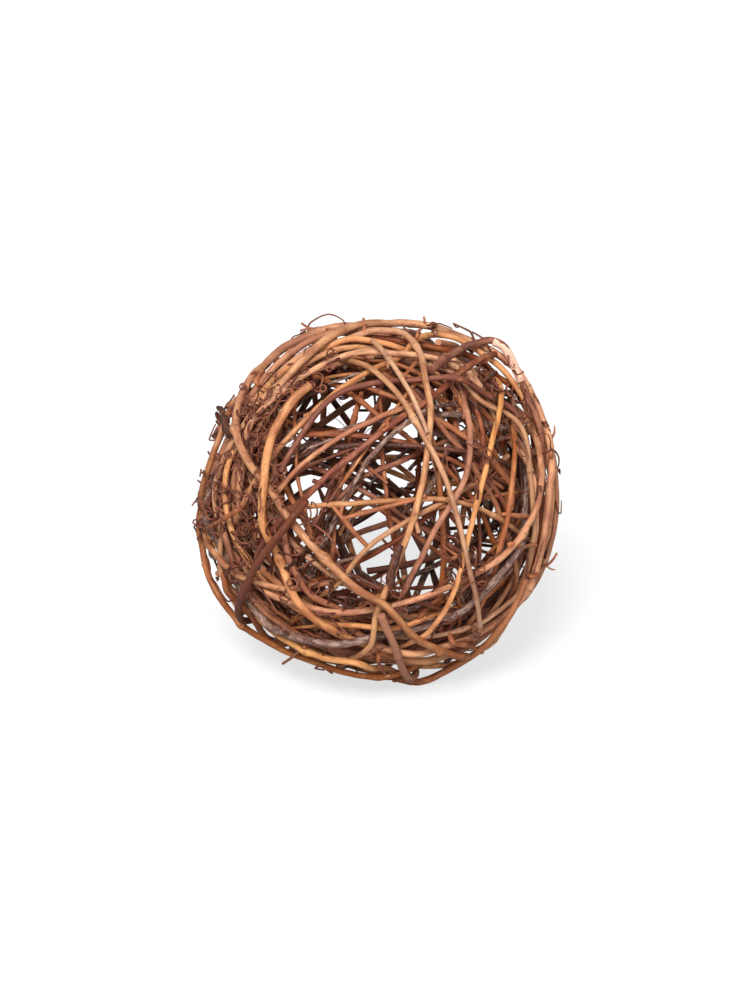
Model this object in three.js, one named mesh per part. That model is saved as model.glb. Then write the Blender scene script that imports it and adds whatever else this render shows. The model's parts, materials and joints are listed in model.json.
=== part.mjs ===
// A decorative ball wound by hand out of long grapevine canes.
//
// Each cane is one tapering stem that runs round an open, hollow ball, over and under the canes
// that it meets.  The canes are laid along smooth routes first, and then settled: wherever two
// of them would share the same space they push each other aside, as springy stems do.  The canes
// at the bottom are pressed onto the plane that the ball rests on, and worn flat there.
//
// Millimetres, +Z up.  The origin is on the resting plane, under the middle of the ball.
import * as THREE from "three";

// ---- driving dimensions ------------------------------------------------------------------
const BALL_RADIUS = 75; // middle of the ball to the outermost canes
const REST_DEPTH = 0.95 * BALL_RADIUS; // middle of the ball down to the resting plane
const HOLLOW_RADIUS = 0.72 * BALL_RADIUS; // no cane comes further in than this
const REACH_RADIUS = 0.98 * BALL_RADIUS; // canes spring out this far, unless laid further out
const SPRING = 1.2; // a cane that is laid further out springs no more than this past its route
const FACE_TILT = THREE.MathUtils.degToRad(25); // the show face looks up by this angle
const STEP = 18; // length of one straight stretch of a cane
const SHORT_STEP = 5; // the same round a sharp bend
const SHARP_TURN = THREE.MathUtils.degToRad(18); // a stretch ends where the cane has turned this much
const SPAN_PARTS = 12; // parts that each span between two places is drawn in
const SIDES = 5; // sides of a cane's section, one of them facing straight out of the ball
const FULLNESS = 1.1; // corner radius of a section, over the radius of the round cane it stands for
const TIP_SHARE = 0.82; // a cane's tip is this much thinner than its butt
const GAP = 0.38; // air left between two canes that cross
const DRIFT = 0.25; // how far a cane strays from a straight way round, where nothing guides it
const RUN_TURN = 15; // degrees round the ball between the places that such a cane passes
const DIVE = { depth: 4, over: 45 }; // how far such a cane slips in under the others, over how many degrees
const WORN = 0.4; // how deep the lowest canes are worn by the resting plane

// ---- bark tones --------------------------------------------------------------------------
const BARK = {
  golden: { color: 0xb98248, roughness: 0.62 },
  russet: { color: 0x8c5331, roughness: 0.66 },
  dark: { color: 0x573628, roughness: 0.74 },
  grey: { color: 0x94796a, roughness: 0.85 },
  pale: { color: 0xc79c70, roughness: 0.7 },
};

// ---- canes laid by hand on the show face ---------------------------------------------------
// way: the places that the cane passes, as [right, up] from the middle of the show face, where
// 1 is the ball's radius.  girth: the butt's radius.  lift: how far out the cane is laid, where 1
// is the ball's radius, so that a higher cane passes over a lower one.  before and after: how
// many degrees the cane runs on round the ball past the two ends of its way.
const LAID = [
  { name: "rim_hoop", bark: "golden", girth: 1.75, lift: 0.98, before: 90, after: 70,
    way: [[-0.2, 0.93], [0.1, 0.985], [0.5, 0.89], [0.76, 0.74], [0.91, 0.46], [0.95, 0.1], [0.92, -0.22],
      [0.82, -0.5], [0.6, -0.73], [0.35, -0.82]] },
  { name: "long_diagonal", bark: "golden", girth: 1.9, lift: 0.975, before: 105, after: 0,
    way: [[-0.3, 0.94], [-0.48, 0.86], [-0.62, 0.76], [-0.73, 0.6], [-0.765, 0.4], [-0.7, 0.21],
      [-0.57, 0.01], [-0.3, -0.3], [0, -0.58], [0.3, -0.8], [0.51, -0.87]] },
  { name: "left_bow", bark: "golden", girth: 1.85, lift: 0.99, before: 0, after: 125,
    way: [[-0.36, 0.63], [-0.46, 0.54], [-0.59, 0.27], [-0.61, 0], [-0.575, -0.25], [-0.43, -0.52]] },
  { name: "upper_sweep", bark: "golden", girth: 1.35, lift: 0.945, before: 105, after: 125,
    way: [[-0.72, 0.36], [-0.62, 0.5], [-0.4, 0.68], [-0.15, 0.8], [0.15, 0.815], [0.45, 0.72]] },
  { name: "golden_chord", bark: "golden", girth: 1.35, lift: 0.92, before: 85, after: 85,
    way: [[0.52, 0.87], [0.37, 0.905], [0.1, 0.79], [-0.2, 0.61], [-0.45, 0.37], [-0.66, 0.12],
      [-0.78, -0.15], [-0.765, -0.42]] },
  { name: "dark_arch", bark: "russet", girth: 1.45, lift: 0.945, before: 145, after: 0,
    way: [[0.55, 0.61], [0.3, 0.665], [0.05, 0.66], [-0.2, 0.585], [-0.4, 0.38], [-0.52, 0.16]] },
  { name: "bent_spine", bark: "golden", girth: 1.5, lift: 0.965, before: 125, after: 0,
    way: [[-0.1, 0.925], [0.12, 0.935], [0.24, 0.83], [0.285, 0.6], [0.28, 0.35], [0.225, 0],
      [0.12, -0.31], [0.02, -0.56], [-0.09, -0.8], [-0.22, -0.915]] },
  { name: "slant_over", bark: "russet", girth: 1.4, lift: 0.94, before: 0, after: 145,
    way: [[0.65, 0.81], [0.45, 0.7], [0.25, 0.54], [0.06, 0.4], [-0.2, 0.195], [-0.48, -0.05]] },
  { name: "slant_under", bark: "golden", girth: 1.1, lift: 0.93, before: 0, after: 105,
    way: [[0.24, 0.53], [0.05, 0.465], [-0.2, 0.34], [-0.4, 0.2], [-0.55, 0.03]] },
  { name: "pale_drop", bark: "pale", girth: 1.25, lift: 0.975, before: 65, after: 0,
    way: [[0.28, 0.33], [0.37, 0.13], [0.44, -0.1], [0.485, -0.32], [0.535, -0.5], [0.56, -0.7],
      [0.54, -0.765]] },
  { name: "right_drop", bark: "russet", girth: 1.35, lift: 0.935, before: 105, after: 65,
    way: [[0.49, 0.62], [0.505, 0.4], [0.47, 0.12], [0.35, -0.09], [0.22, -0.35], [0.12, -0.56]] },
  { name: "right_fall", bark: "golden", girth: 1.25, lift: 0.95, before: 40, after: 105,
    way: [[0.67, 0.62], [0.63, 0.35], [0.55, 0.02], [0.49, -0.23], [0.41, -0.5], [0.28, -0.69]] },
  { name: "crescent", bark: "golden", girth: 1.45, lift: 0.955, before: 105, after: 85,
    way: [[0.88, 0.36], [0.905, 0.15], [0.85, -0.08], [0.65, -0.33], [0.35, -0.48], [0.05, -0.565],
      [-0.25, -0.59], [-0.5, -0.54], [-0.68, -0.47]] },
  { name: "left_hoop", bark: "golden", girth: 1.35, lift: 0.935, before: 65, after: 65,
    way: [[-0.2, 0.85], [-0.45, 0.76], [-0.65, 0.58], [-0.73, 0.38], [-0.81, 0.05], [-0.75, -0.24],
      [-0.55, -0.5], [-0.3, -0.665], [0, -0.71]] },
  { name: "left_rim", bark: "golden", girth: 1.5, lift: 0.965, before: 85, after: 40,
    way: [[-0.6, 0.77], [-0.78, 0.58], [-0.86, 0.37], [-0.95, 0.1], [-0.965, -0.08], [-0.93, -0.25],
      [-0.83, -0.38], [-0.7, -0.45]] },
  { name: "lower_left_rim", bark: "golden", girth: 1.5, lift: 0.98, before: 145, after: 125,
    way: [[-0.97, -0.2], [-0.9, -0.48], [-0.76, -0.67], [-0.47, -0.84], [-0.1, -0.945], [0.25, -0.93]] },
  { name: "bottom_loop", bark: "golden", girth: 1.5, lift: 0.98, before: 85, after: 170,
    way: [[-0.5, -0.77], [-0.3, -0.86], [-0.1, -0.89], [0.05, -0.965], [0.22, -0.99], [0.45, -0.92],
      [0.6, -0.81], [0.69, -0.69]] },
  { name: "inner_left_rim", bark: "golden", girth: 1.3, lift: 0.935, before: 105, after: 85,
    way: [[-0.9, 0.1], [-0.91, -0.15], [-0.87, -0.4], [-0.76, -0.6], [-0.55, -0.75], [-0.35, -0.85],
      [-0.1, -0.91]] },
  { name: "grey_band", bark: "grey", girth: 1.75, lift: 0.965, before: 50, after: 85,
    way: [[-0.73, -0.56], [-0.6, -0.68], [-0.35, -0.76], [-0.05, -0.77], [0.2, -0.745], [0.4, -0.66],
      [0.53, -0.56]] },
  { name: "left_strut", bark: "dark", girth: 1.7, lift: 0.99, before: 20, after: 70,
    way: [[-0.6, -0.22], [-0.7, -0.36], [-0.755, -0.52], [-0.745, -0.66]] },
  { name: "russet_brace", bark: "russet", girth: 1.6, lift: 0.935, before: 65, after: 65,
    way: [[-0.52, -0.17], [-0.46, -0.34], [-0.37, -0.5], [-0.25, -0.6]] },
  { name: "under_diagonal", bark: "golden", girth: 1.25, lift: 0.925, before: 85, after: 105,
    way: [[-0.5, -0.17], [-0.3, -0.36], [-0.15, -0.47], [0.05, -0.6]] },
  { name: "low_sweep", bark: "russet", girth: 1.4, lift: 0.94, before: 70, after: 85,
    way: [[-0.76, -0.4], [-0.68, -0.53], [-0.55, -0.68], [-0.35, -0.8], [-0.1, -0.86]] },
  { name: "waist", bark: "golden", girth: 1.15, lift: 0.925, before: 50, after: 85,
    way: [[-0.52, -0.04], [-0.2, -0.015], [0.1, 0], [0.35, 0.01], [0.52, -0.03], [0.78, -0.15]] },
  { name: "light_cross", bark: "pale", girth: 1.15, lift: 0.93, before: 40, after: 65,
    way: [[0.35, -0.01], [0.15, -0.11], [-0.05, -0.25], [-0.16, -0.37], [-0.3, -0.52]] },
  { name: "low_cross", bark: "russet", girth: 1.15, lift: 0.91, before: 85, after: 65,
    way: [[0.16, -0.17], [0, -0.28], [-0.17, -0.37], [-0.35, -0.45]] },
  { name: "pale_slip", bark: "grey", girth: 1.2, lift: 0.915, before: 40, after: 65,
    way: [[-0.2, -0.04], [-0.1, 0.15], [0.05, 0.33], [0.2, 0.44]] },
  { name: "inner_upright", bark: "russet", girth: 1.35, lift: 0.885, before: 85, after: 65,
    way: [[-0.32, -0.2], [-0.28, 0], [-0.2, 0.2], [-0.1, 0.36], [0.03, 0.56]] },
  { name: "inner_slant", bark: "russet", girth: 1.2, lift: 0.89, before: 65, after: 105,
    way: [[-0.45, 0.22], [-0.25, 0.145], [-0.05, 0.04], [0.2, -0.12]] },
  { name: "twin_slant", bark: "russet", girth: 1.25, lift: 0.9, before: 85, after: 85,
    way: [[0.27, 0.285], [0.1, 0.2], [-0.1, 0.11], [-0.25, -0.03], [-0.4, -0.18]] },
  { name: "thin_tie", bark: "dark", girth: 1.1, lift: 0.91, before: 40, after: 85,
    way: [[-0.37, 0.26], [-0.2, 0.3], [0.1, 0.3], [0.4, 0.28], [0.57, 0.25]] },
  { name: "top_slip", bark: "golden", girth: 1.25, lift: 0.9, before: 85, after: 40,
    way: [[-0.12, 0.57], [0, 0.47], [0.2, 0.32], [0.35, 0.2]] },
  { name: "right_slant", bark: "russet", girth: 1.25, lift: 0.905, before: 105, after: 85,
    way: [[0.2, 0.58], [0.32, 0.43], [0.45, 0.29], [0.6, 0.1], [0.68, 0]] },
  { name: "grey_tie", bark: "grey", girth: 1.35, lift: 0.91, before: 65, after: 105,
    way: [[0.28, 0.48], [0.45, 0.48], [0.65, 0.435], [0.82, 0.33]] },
  { name: "yellow_hoop", bark: "pale", girth: 1.15, lift: 0.945, before: 65, after: 65,
    way: [[0.65, 0.56], [0.8, 0.35], [0.86, 0.1], [0.855, -0.2], [0.78, -0.5], [0.6, -0.65]] },
  { name: "right_upright", bark: "golden", girth: 1.2, lift: 0.935, before: 85, after: 40,
    way: [[0.76, 0.42], [0.74, 0.1], [0.69, -0.2], [0.64, -0.47]] },
  { name: "top_fall", bark: "pale", girth: 1.15, lift: 0.97, before: 0, after: 0,
    way: [[-0.03, 0.88], [0.08, 0.75], [0.17, 0.6], [0.24, 0.45], [0.27, 0.36]] },
  { name: "top_hoop", bark: "russet", girth: 1.45, lift: 0.955, before: 85, after: 65,
    way: [[-0.42, 0.82], [-0.2, 0.885], [0.05, 0.905], [0.3, 0.865], [0.55, 0.76], [0.75, 0.62],
      [0.88, 0.42]] },
  { name: "escaped_bow", bark: "russet", girth: 1.7, lift: 0.98, before: 20, after: 30,
    way: [[0.44, 0.82], [0.56, 0.87], [0.66, 0.905], [0.73, 0.83], [0.79, 0.69], [0.85, 0.55]] },
  { name: "orange_upright", bark: "golden", girth: 1.35, lift: 0.9, before: 105, after: 65,
    way: [[0.33, 0.2], [0.36, -0.12], [0.36, -0.38], [0.33, -0.6]] },
  { name: "right_hook", bark: "golden", girth: 1.2, lift: 0.925, before: 20, after: 20,
    way: [[0.68, -0.05], [0.74, -0.24], [0.775, -0.4], [0.74, -0.54]] },
  { name: "outer_right_rim", bark: "golden", girth: 1.5, lift: 0.98, before: 125, after: 105,
    way: [[0.9, 0.42], [0.975, 0.15], [0.99, -0.08], [0.95, -0.3], [0.85, -0.5], [0.68, -0.7]] },
  { name: "inner_right_rim", bark: "russet", girth: 1.4, lift: 0.935, before: 65, after: 85,
    way: [[0.82, 0.5], [0.91, 0.2], [0.9, -0.1], [0.83, -0.4], [0.65, -0.66], [0.4, -0.78]] },
  { name: "left_upright", bark: "golden", girth: 1.3, lift: 0.945, before: 65, after: 65,
    way: [[-0.68, 0.5], [-0.8, 0.3], [-0.88, 0.12], [-0.905, -0.1], [-0.87, -0.3]] },
];

// ---- canes laid by rule --------------------------------------------------------------------
const FOOT = { count: 3, girth: 1.7, lift: 1.02, offset: 16, forward: 4, spread: 150 }; // under the ball
const FOOT_HEIGHT = 2 * FOOT.girth * FULLNESS; // the other canes lie on the foot canes
const BACK = { count: 13, tries: 160, girth: 1.5, lift: 0.965, spread: 200 }; // across the far side
const FACE_WAY = new THREE.Vector3(0, -Math.cos(FACE_TILT), Math.sin(FACE_TILT)); // where the face looks
const FACE_EDGE = 0.3 * BALL_RADIUS; // a back cane stays behind this, towards the show face
const BACK_BARKS = 4; // bark tones that the back canes take in turn
const BARE = 14; // a spot this far from every cane is as bare as can be

// ---- settling ------------------------------------------------------------------------------
// firmest and softest: the share of an overlap that is cleared in one round, at the end and at the
// start.  stiffest: how far a stem spreads a push along itself.  pull and hug: how strongly it
// springs back in or out of the ball, and sideways.  layering: how strongly one cane keeps above
// another.  slack: the overlap that may be left.
const SETTLE = {
  rounds: 600,
  stiffest: 0.5,
  firmest: 1.05,
  softest: 0.6,
  pull: 0.003,
  hug: 0.05,
  layering: 0.6,
  slack: 0.03,
};
const MERGED = 0.3; // two canes this close, in parts of their girth, run through each other
const PARALLEL = 1e-9; // two stretches with no more slant than this run side by side
const LEVEL = 0.1; // with less height than this between them, they take turns to be the upper one

/** A repeatable run of numbers from 0 to 1. */
function seeded(seed) {
  let state = seed;
  return () => {
    state = (state * 1664525 + 1013904223) % 4294967296;
    return state / 4294967296;
  };
}

/** A small stray to either side. */
function stray(random) {
  return DRIFT * (2 * random() - 1);
}

/** The point at [right, up] on the show face of a ball with its middle at the origin. */
function onFace([right, up], lift) {
  const flat = Math.hypot(right, up);
  const out = Math.sqrt(Math.max(0, lift * lift - flat * flat));
  return new THREE.Vector3(right, -out, up)
    .applyAxisAngle(new THREE.Vector3(1, 0, 0), -FACE_TILT)
    .multiplyScalar(BALL_RADIUS);
}

/**
 * The way in which canes lie one upon another: on the face's side, the way that the face looks, and
 * elsewhere out of the ball.
 */
function layerWay(point) {
  return point.dot(FACE_WAY) > 0 ? FACE_WAY.clone() : point.clone().normalize();
}

/** Points that carry on round the ball from `end`, away from `inner`, for so many degrees. */
function runOn(end, inner, degrees, drift, dive = 0) {
  const points = [];
  const outward = end.clone().normalize();
  const away = end.clone().sub(inner).normalize();
  const axis = outward.clone().cross(away).addScaledVector(outward, drift).normalize();
  const turns = Math.round(degrees / RUN_TURN);
  for (let i = 1; i <= turns; i++) {
    const turned = (degrees * i) / turns;
    const point = end.clone().applyAxisAngle(axis, THREE.MathUtils.degToRad(turned));
    points.push(point.setLength(end.length() - dive * Math.min(1, turned / DIVE.over)));
  }
  return points;
}

/**
 * Steps along a smooth curve through the points, each held at its distance from the middle.
 * The steps are even, but shorter round a sharp bend.
 */
function stepAlong(points) {
  const curve = new THREE.CatmullRomCurve3(points, false, "centripetal");
  const spans = points.length - 1;
  const held = Array.from({ length: spans * SPAN_PARTS + 1 }, (_, i) => {
    const along = i / SPAN_PARTS;
    const from = Math.min(Math.floor(along), spans - 1);
    const reach = THREE.MathUtils.lerp(points[from].length(), points[from + 1].length(), along - from);
    return curve.getPoint(along / spans).setLength(reach);
  });
  const smooth = new THREE.CatmullRomCurve3(held);
  const fine = smooth.getSpacedPoints(Math.round(smooth.getLength()));
  const kept = [fine[0]];
  let run = 0;
  let turn = 0;
  for (let i = 1; i < fine.length - 1; i++) {
    const into = fine[i].clone().sub(fine[i - 1]);
    run += into.length();
    turn += into.angleTo(fine[i + 1].clone().sub(fine[i]));
    if (run >= STEP || (run >= SHORT_STEP && turn >= SHARP_TURN)) {
      kept.push(fine[i]);
      run = 0;
      turn = 0;
    }
  }
  if (run < SHORT_STEP) kept.pop();
  kept.push(fine.at(-1));
  return kept;
}

/** A cane before it is settled: its points, its radius at each, and how high its underside stays. */
function cane(name, bark, girth, points, height = FOOT_HEIGHT) {
  const last = points.length - 1;
  return {
    name,
    bark,
    points,
    height,
    laid: points.map((p) => p.clone()),
    radii: points.map((p, i) => girth * FULLNESS * THREE.MathUtils.lerp(1, TIP_SHARE, i / last)),
  };
}

/** The canes laid by hand, each run on round the ball at both its ends. */
function laidCanes(random) {
  return LAID.map(({ name, bark, girth, lift, way, before, after }) => {
    const seen = way.map((place) => onFace(place, lift));
    const first = runOn(seen[0], seen[1], before, stray(random), DIVE.depth).reverse();
    const last = runOn(seen.at(-1), seen.at(-2), after, stray(random), DIVE.depth);
    return cane(name, bark, girth, stepAlong([...first, ...seen, ...last]));
  });
}

/** An arc of a circle round the ball: its middle, the way it runs there, and its spread in degrees. */
function arc(middle, heading, spread, drift, dive = 0) {
  const half = (sign) => {
    const behind = middle.clone().addScaledVector(heading, -sign);
    return runOn(middle, behind, spread / 2, drift * sign, dive);
  };
  return stepAlong([...half(-1).reverse(), middle, ...half(1)]);
}

/** Canes that cross under the ball, each to one side of the lowest point, so that they form a foot. */
function footCanes() {
  return Array.from({ length: FOOT.count }, (_, i) => {
    const around = (2 * Math.PI * i) / FOOT.count;
    const aside = new THREE.Vector3(Math.cos(around), Math.sin(around), 0);
    const middle = new THREE.Vector3(0, -FOOT.forward, -FOOT.lift * BALL_RADIUS);
    middle.addScaledVector(aside, FOOT.offset);
    const heading = new THREE.Vector3(-aside.y, aside.x, 0);
    const route = arc(middle, heading, FOOT.spread, 0, DIVE.depth);
    return cane(`foot_vine_${i + 1}`, "russet", FOOT.girth, route, -WORN);
  });
}

/** How bare the ball is along these points: their mean distance to the nearest cane. */
function bareness(points, canes) {
  const laid = canes.flatMap((each) => each.points);
  const nearest = points.map((p) => laid.reduce((least, q) => Math.min(least, p.distanceTo(q)), BARE));
  return nearest.reduce((sum, d) => sum + d, 0) / points.length;
}

/** A direction picked evenly from all round. */
function anyWay(random) {
  const up = 2 * random() - 1;
  const around = 2 * Math.PI * random();
  const flat = Math.sqrt(1 - up * up);
  return new THREE.Vector3(flat * Math.cos(around), flat * Math.sin(around), up);
}

/** Canes that close the far side. Each takes the barest of many routes that keep off the show face. */
function addBackCanes(canes, random) {
  for (let i = 1; i <= BACK.count; i++) {
    const routes = [];
    while (routes.length < BACK.tries) {
      const middle = anyWay(random).multiplyScalar(BACK.lift * BALL_RADIUS);
      const heading = anyWay(random).cross(middle).normalize();
      const route = arc(middle, heading, BACK.spread, stray(random));
      if (route.every((p) => p.dot(FACE_WAY) < FACE_EDGE)) routes.push(route);
    }
    const scores = routes.map((route) => bareness(route, canes));
    const barest = routes[scores.indexOf(Math.max(...scores))];
    canes.push(cane(`back_vine_${i}`, Object.keys(BARK)[i % BACK_BARKS], BACK.girth, barest));
  }
}

/** Where two straight stretches come closest: how far along each, from 0 to 1. */
function closest(p1, q1, p2, q2) {
  const d1 = q1.clone().sub(p1);
  const d2 = q2.clone().sub(p2);
  const r = p1.clone().sub(p2);
  const a = d1.dot(d1);
  const e = d2.dot(d2);
  const f = d2.dot(r);
  const c = d1.dot(r);
  const b = d1.dot(d2);
  const clamp = (x) => Math.min(1, Math.max(0, x));
  const slant = a * e - b * b;
  let s = slant > PARALLEL ? clamp((b * f - c * e) / slant) : 0.5;
  let t = (b * s + f) / e;
  if (t < 0 || t > 1) {
    t = clamp(t);
    s = clamp((b * t - c) / a);
  }
  return [s, t];
}

/** Moves the two ends of a stretch so that the place `along` it moves by `by`. */
function shift(start, end, along, by) {
  const whole = (1 - along) ** 2 + along ** 2;
  start.addScaledVector(by, (1 - along) / whole);
  end.addScaledVector(by, along / whole);
}

/** Pushes apart every two stretches that come too close. Returns the worst overlap that it found. */
function pushApart(stretches, firmness, layering) {
  let worst = 0;
  const reach = 3 * STEP;
  for (let i = 0; i < stretches.length; i++) {
    const one = stretches[i];
    const p1 = one.points[one.at];
    const q1 = one.points[one.at + 1];
    for (let j = i + 1; j < stretches.length; j++) {
      const two = stretches[j];
      if (one.points === two.points && two.starts[two.at] - one.starts[one.at + 1] < STEP) continue;
      const p2 = two.points[two.at];
      if (p1.distanceToSquared(p2) > reach * reach) continue;
      const q2 = two.points[two.at + 1];
      const [s, t] = closest(p1, q1, p2, q2);
      const here = p1.clone().lerp(q1, s);
      const apart = here.clone().sub(p2.clone().lerp(q2, t));
      const wanted =
        THREE.MathUtils.lerp(one.radii[one.at], one.radii[one.at + 1], s) +
        THREE.MathUtils.lerp(two.radii[two.at], two.radii[two.at + 1], t) + GAP;
      const short = wanted - apart.length();
      if (short <= 0) continue;
      worst = Math.max(worst, short);
      const outward = layerWay(here);
      const above = apart.dot(outward);
      const weave = (two.rank - one.rank) % 2 ? 1 : -1;
      const layer = Math.abs(above) > LEVEL * wanted ? Math.sign(above) : weave;
      apart.addScaledVector(outward, layer * wanted * (apart.length() < MERGED * wanted ? 1 : layering));
      apart.setLength((firmness * short) / 2);
      shift(p1, q1, s, apart);
      shift(p2, q2, t, apart.negate());
    }
  }
  return worst;
}

/**
 * Spreads each cane's push over its neighbours, as a stiff stem does. Then it draws the cane back
 * towards where it was laid: strongly sideways, and only weakly in or out of the ball.
 */
function ease({ points, laid }, easing) {
  const moved = points.map((p, i) => p.clone().sub(laid[i]));
  points.forEach((p, i) => {
    const before = moved[Math.max(0, i - 1)];
    const after = moved[Math.min(points.length - 1, i + 1)];
    const push = moved[i].clone().lerp(before.clone().add(after).multiplyScalar(0.5), easing);
    const outward = layerWay(laid[i]);
    const inOut = outward.multiplyScalar(push.dot(outward));
    const sideways = push.sub(inOut).multiplyScalar(1 - SETTLE.hug);
    p.copy(laid[i]).addScaledVector(inOut, 1 - SETTLE.pull).add(sideways);
  });
}

/** Keeps a cane inside the ball's reach, out of its hollow and off the plane that it rests on. */
function hold({ points, laid, radii, height }) {
  points.forEach((p, i) => {
    const outer = Math.max(REACH_RADIUS, laid[i].length() + SPRING);
    p.clampLength(HOLLOW_RADIUS, outer);
    const flatSide = radii[i] * Math.cos(Math.PI / SIDES);
    p.z = Math.max(p.z, height + flatSide - REST_DEPTH);
  });
}

/** Lets the canes find their places: they begin springy and soft, and end firm and clear of each other. */
function settle(canes) {
  const stretches = canes.flatMap(({ points, radii }, rank) => {
    const starts = [0];
    points.slice(1).forEach((p, i) => starts.push(starts[i] + p.distanceTo(points[i])));
    return points.slice(1).map((_, at) => ({ points, radii, starts, at, rank }));
  });
  for (let round = 0; round < 2 * SETTLE.rounds; round++) {
    const calm = Math.min(1, round / SETTLE.rounds);
    canes.forEach(hold);
    const firmness = THREE.MathUtils.lerp(SETTLE.softest, SETTLE.firmest, calm);
    const worst = pushApart(stretches, firmness, SETTLE.layering * (1 - calm));
    if (calm === 1 && worst < SETTLE.slack) break;
    if (calm < 1) canes.forEach((each) => ease(each, SETTLE.stiffest * (1 - calm ** 3)));
  }
}

/** A settled cane's line, for ExtrudeGeometry: it turns one side of the section out of the ball. */
class CaneLine extends THREE.Curve {
  constructor(points) {
    super();
    this.points = points;
  }
  getSpacedPoints() {
    return this.points;
  }
  computeFrenetFrames() {
    const { points } = this;
    const tangents = points.map((p, i) =>
      points[Math.min(i + 1, points.length - 1)].clone().sub(points[Math.max(i - 1, 0)]).normalize(),
    );
    const normals = points.map((p, i) => p.clone().projectOnPlane(tangents[i]).normalize());
    const binormals = tangents.map((t, i) => t.clone().cross(normals[i]));
    return { tangents, normals, binormals };
  }
}

/** A section of unit radius with one flat side facing the way of its x axis. */
function section() {
  const corners = Array.from({ length: SIDES }, (_, i) => {
    const turn = ((i + 0.5) * 2 * Math.PI) / SIDES;
    return new THREE.Vector2(Math.cos(turn), Math.sin(turn));
  });
  return new THREE.Shape(corners);
}

/** The solid of a settled cane: a unit section swept along it, swollen to its radius at each step. */
function caneMesh({ name, bark, points, radii }) {
  const geometry = new THREE.ExtrudeGeometry(section(), {
    steps: points.length - 1,
    extrudePath: new CaneLine(points),
  });
  const corner = new THREE.Vector3();
  const position = geometry.getAttribute("position");
  for (let i = 0; i < position.count; i++) {
    corner.fromBufferAttribute(position, i);
    let ring = 0;
    points.forEach((p, k) => {
      if (p.distanceToSquared(corner) < points[ring].distanceToSquared(corner)) ring = k;
    });
    corner.sub(points[ring]).multiplyScalar(radii[ring]).add(points[ring]);
    position.setXYZ(i, corner.x, corner.y, Math.max(corner.z, -REST_DEPTH));
  }
  const mesh = new THREE.Mesh(geometry, new THREE.MeshStandardMaterial({ ...BARK[bark], metalness: 0 }));
  mesh.name = name;
  return mesh;
}

const random = seeded(11);
const canes = [...laidCanes(random), ...footCanes()];
addBackCanes(canes, random);
settle(canes);

const ball = new THREE.Group();
ball.add(...canes.map(caneMesh));

// The ball stands with its resting plane at z = 0, and its box centred over the origin.
const middle = new THREE.Box3().setFromObject(ball).getCenter(new THREE.Vector3());
ball.position.set(-middle.x, -middle.y, REST_DEPTH);

export default ball;
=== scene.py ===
"""The wound vine ball: its canes, side shoots, tendrils and peeling bark, on a pale studio floor."""

import json
import math
import random
from itertools import takewhile

import bmesh
import bpy
from mathutils import Matrix, Vector


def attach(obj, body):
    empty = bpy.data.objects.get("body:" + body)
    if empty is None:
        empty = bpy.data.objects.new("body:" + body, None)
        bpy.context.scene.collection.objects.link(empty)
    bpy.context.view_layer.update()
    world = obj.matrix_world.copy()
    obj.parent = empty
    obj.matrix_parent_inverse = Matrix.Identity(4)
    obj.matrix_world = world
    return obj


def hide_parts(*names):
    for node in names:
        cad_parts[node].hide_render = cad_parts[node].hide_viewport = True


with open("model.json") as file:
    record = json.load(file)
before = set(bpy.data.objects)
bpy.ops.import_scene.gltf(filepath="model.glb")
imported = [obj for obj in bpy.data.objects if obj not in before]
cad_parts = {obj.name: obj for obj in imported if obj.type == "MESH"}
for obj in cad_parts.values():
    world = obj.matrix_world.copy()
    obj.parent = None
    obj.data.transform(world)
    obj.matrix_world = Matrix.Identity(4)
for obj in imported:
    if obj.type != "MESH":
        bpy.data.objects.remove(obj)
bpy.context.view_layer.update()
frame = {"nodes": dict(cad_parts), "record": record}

MM = 0.001
HOLLOW = frame["record"]["physics"]["openings"][0]["box_m"]
MIDDLE = (Vector(HOLLOW[0]) + Vector(HOLLOW[1])) / 2  # the middle of the ball
BALL = 75 * MM  # the ball's radius
FACE_TILT = math.radians(25)  # the show face looks up by this angle
RIGHT = Vector((1, 0, 0))
UP = Vector((0, math.sin(FACE_TILT), math.cos(FACE_TILT)))
FACE = Vector((0, -math.cos(FACE_TILT), math.sin(FACE_TILT)))
FULLNESS = 1.1  # a solid cane's corner radius over the radius of the round cane that it stands for
RING_EDGE = 2.6 * MM  # the sides of a solid cane's rings are shorter than this, and its stretches longer
OFF_THE_GROUND = 1 * MM  # tendrils and shreds of bark keep above this height


def fine(for_show):
    return for_show


# ---- node trees in few words -------------------------------------------------------------------------


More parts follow.
